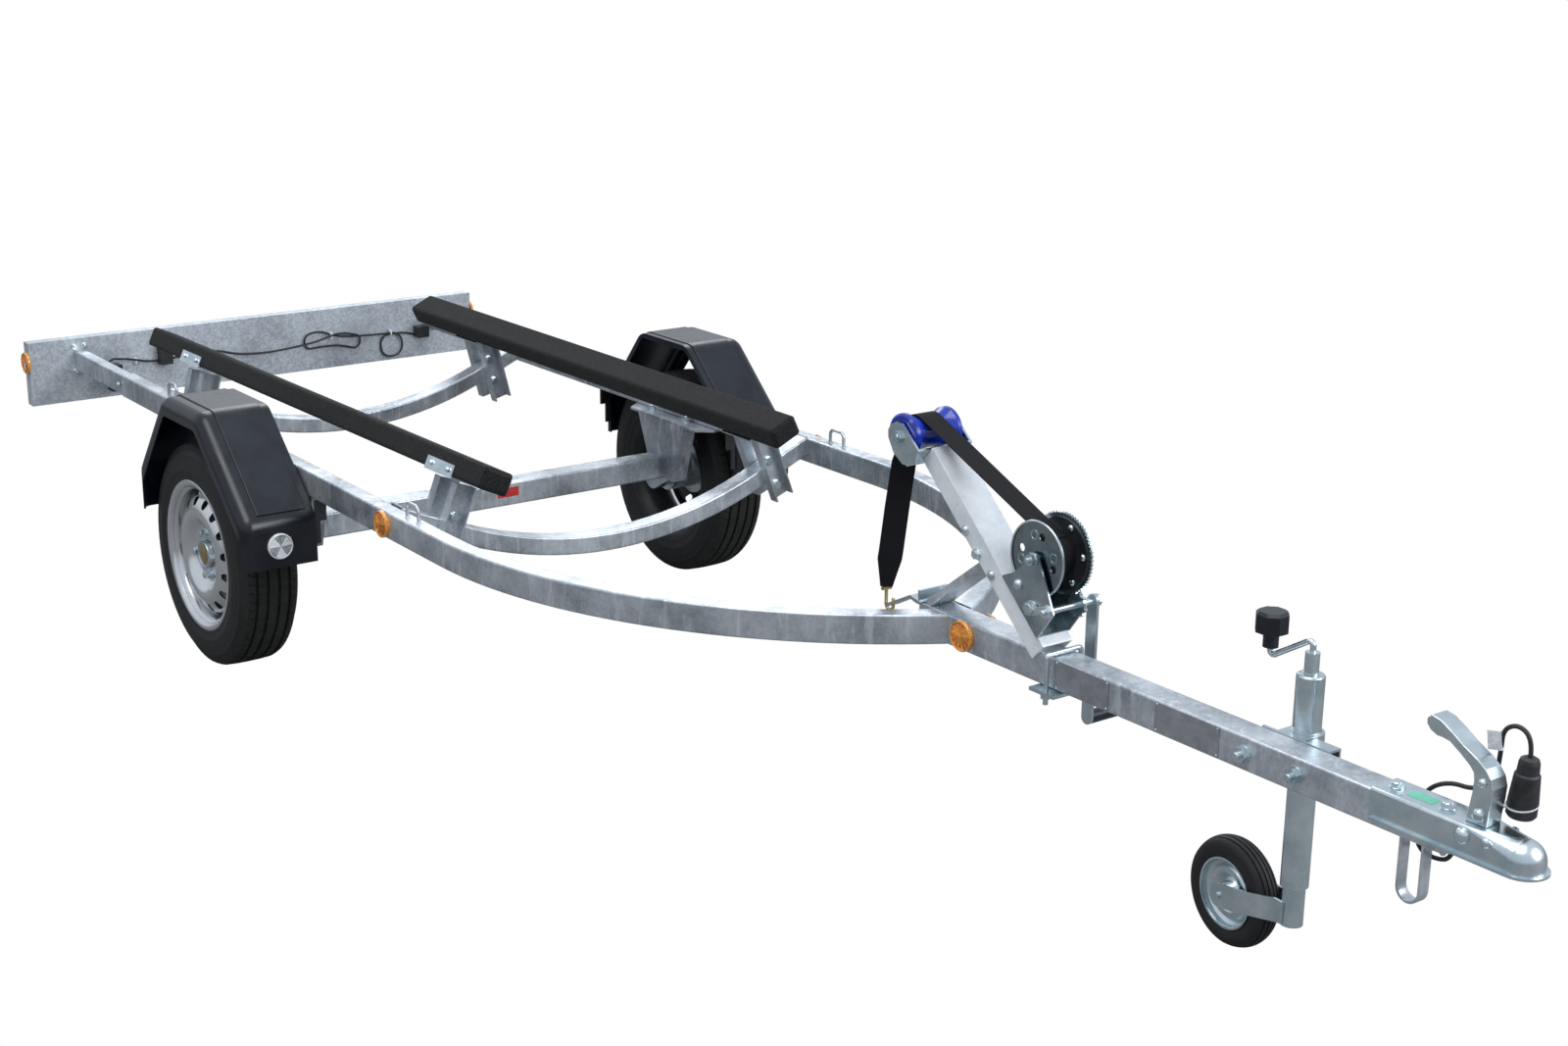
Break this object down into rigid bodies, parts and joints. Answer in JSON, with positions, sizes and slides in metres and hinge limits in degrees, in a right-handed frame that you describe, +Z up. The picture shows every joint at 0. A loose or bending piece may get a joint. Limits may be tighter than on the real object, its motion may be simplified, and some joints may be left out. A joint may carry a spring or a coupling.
{
  "type": "boat trailer",
  "caption": "Single-axle galvanised boat trailer with carpeted bunks, winch post, bow roller, jockey wheel and ball coupling",
  "frame": {"origin": "on the ground under the middle of the trailer's length and width", "axes": "+X towards the tow ball, +Y to the trailer's left, +Z up, parked on its jockey wheel"},
  "size_m": [4.545, 1.536, 0.8384],
  "materials": {
    "black_paint": "satin black paint",
    "black_plastic": "satin black",
    "blue_roller": "saturated blue, satin",
    "brass": "yellow passivated hook",
    "cable": "black cable sheath",
    "carpet": "black speckled carpet over wood",
    "galvanised": "hot-dip galvanised, mottled pale grey",
    "orange": "orange faceted reflector",
    "plate": "blank plate",
    "red_lamp": "red lamp lens",
    "rim_paint": "silver paint",
    "small_tyre": "black rubber",
    "strap": "black woven webbing",
    "tyre": "black rubber",
    "white": "clear white faceted reflector",
    "zinc": "bright zinc plate, slightly blue"
  },
  "bodies": {
    "frame": {"axle_brackets": "galvanised", "axle_saddles": "galvanised", "axle_tube": "galvanised", "board_arms": "zinc", "bunk_pads": "zinc", "bunk_posts": "galvanised", "bunks": "carpet", "coupling_head": "zinc", "coupling_lever": "zinc", "crank_grip": "black_plastic", "cross_arcs": "galvanised", "drawbar": "galvanised", "drum_cheek": "black_paint", "front_cable": "cable", "front_reflectors": "white", "hook_plate": "zinc", "id_plates": "plate", "jockey_clamp": "galvanised", "jockey_crank": "zinc", "jockey_knob": "black_plastic", "jockey_outer": "zinc", "lashing_eyes": "galvanised", "light_board": "galvanised", "mudguard_stays": "black_paint", "mudguards": "black_plastic", "plug": "black_plastic", "rails": "galvanised", "rear_cable_long": "cable", "rear_cable_short": "cable", "rear_connectors": "black_plastic", "rear_lamps": "red_lamp", "roller_bracket": "zinc", "safety_loop": "galvanised", "side_reflectors": "orange", "stand_clamp": "galvanised", "strap": "strap", "strap_hook": "brass", "swing_arms": "galvanised", "winch_crank": "zinc", "winch_drum": "zinc", "winch_frame": "zinc", "winch_post": "galvanised", "winch_shafts": "zinc", "winch_strut": "galvanised"},
    "wheel_left": {"tyre_left": "tyre", "rim_left": "rim_paint", "hub_left": "galvanised"},
    "wheel_right": {"tyre_right": "tyre", "rim_right": "rim_paint", "hub_right": "galvanised"},
    "bow_roller": {"bow_roller": "blue_roller"},
    "jockey_leg": {"jockey_inner": "zinc"},
    "jockey_caster": {"jockey_fork": "zinc"},
    "jockey_wheel": {"jockey_tyre": "small_tyre", "jockey_rim": "zinc"}
  },
  "joints": [
    {"name": "wheel_left_spin", "type": "hinge", "parent": "frame", "child": "wheel_left", "pos_m": [-0.96213, 0.6665, 0.272], "axis": [0, 1, 0], "continuous": true},
    {"name": "wheel_right_spin", "type": "hinge", "parent": "frame", "child": "wheel_right", "pos_m": [-0.96213, -0.6665, 0.272], "axis": [0, 1, 0], "continuous": true},
    {"name": "bow_roller_spin", "type": "hinge", "parent": "frame", "child": "bow_roller", "pos_m": [0.85745, 0, 0.79546], "axis": [0, 1, 0], "continuous": true},
    {"name": "jockey_lift", "type": "slide", "parent": "frame", "child": "jockey_leg", "axis": [0.0301, 0, 0.9995], "range_m": [-0.17, 0.019]},
    {"name": "jockey_swivel", "type": "hinge", "parent": "jockey_leg", "child": "jockey_caster", "pos_m": [1.74277, 0.072, 0.09515], "axis": [0.0301, 0, 0.9995], "continuous": true},
    {"name": "jockey_roll", "type": "hinge", "parent": "jockey_caster", "child": "jockey_wheel", "pos_m": [1.59911, 0.08787, 0.09948], "axis": [0.1097, 0.994, -0.0033], "continuous": true}
  ]
}
